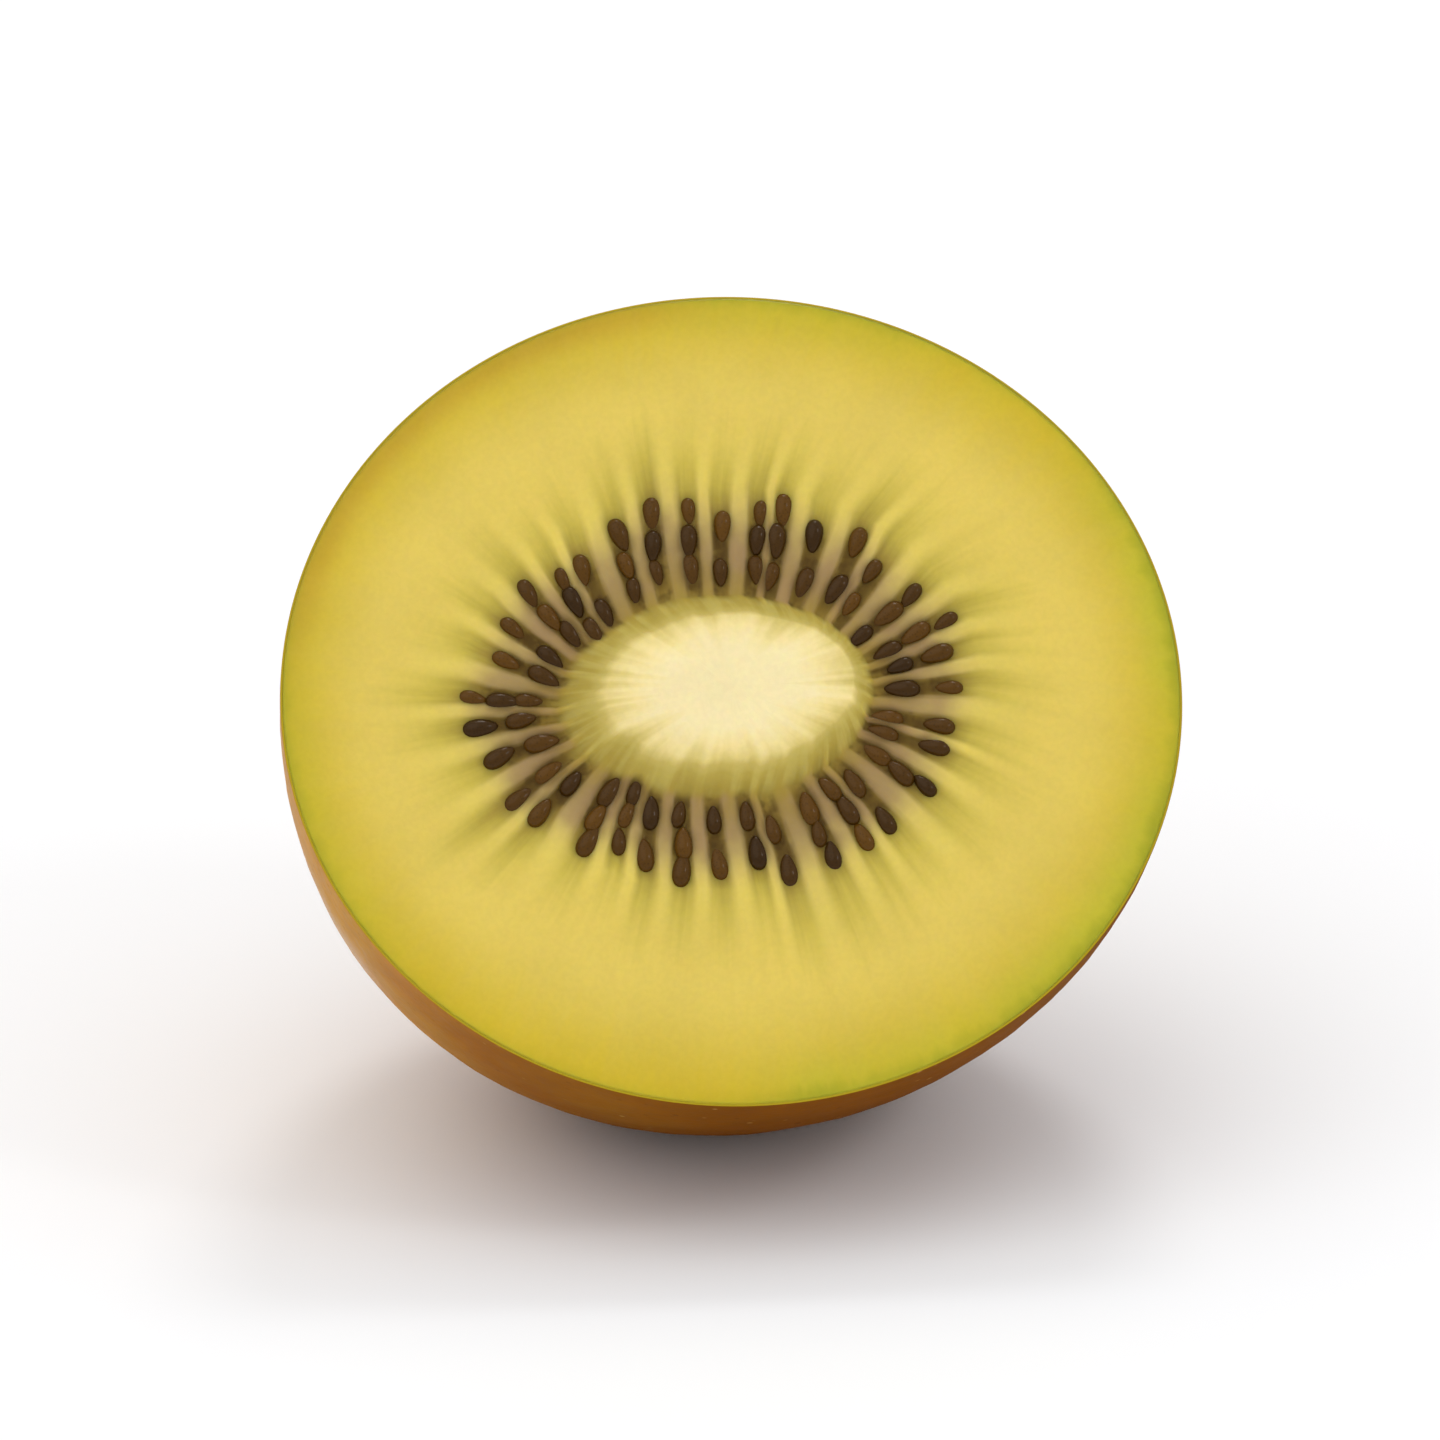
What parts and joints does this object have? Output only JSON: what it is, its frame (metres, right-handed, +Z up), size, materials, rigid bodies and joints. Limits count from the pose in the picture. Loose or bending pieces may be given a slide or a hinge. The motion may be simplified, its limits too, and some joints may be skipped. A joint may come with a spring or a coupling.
{
  "type": "golden kiwi fruit half",
  "caption": "Cut half of a golden kiwi fruit lying on its skin, with its pale core, ring of seeds and stem scar.",
  "frame": {"origin": "on the surface that the half lies on, under the middle of its bounding box", "axes": "+Z up; the cut face looks up and towards -Y at 38 degrees above the horizon, and the stem end points down and towards +Y"},
  "size_m": [0.056, 0.0498, 0.0512],
  "materials": {
    "flesh": "satin",
    "skin": "matte",
    "core": "satin",
    "seed": "gloss",
    "stem": "matte"
  },
  "bodies": {
    "root": {"kiwi_half": "flesh"}
  },
  "joints": []
}
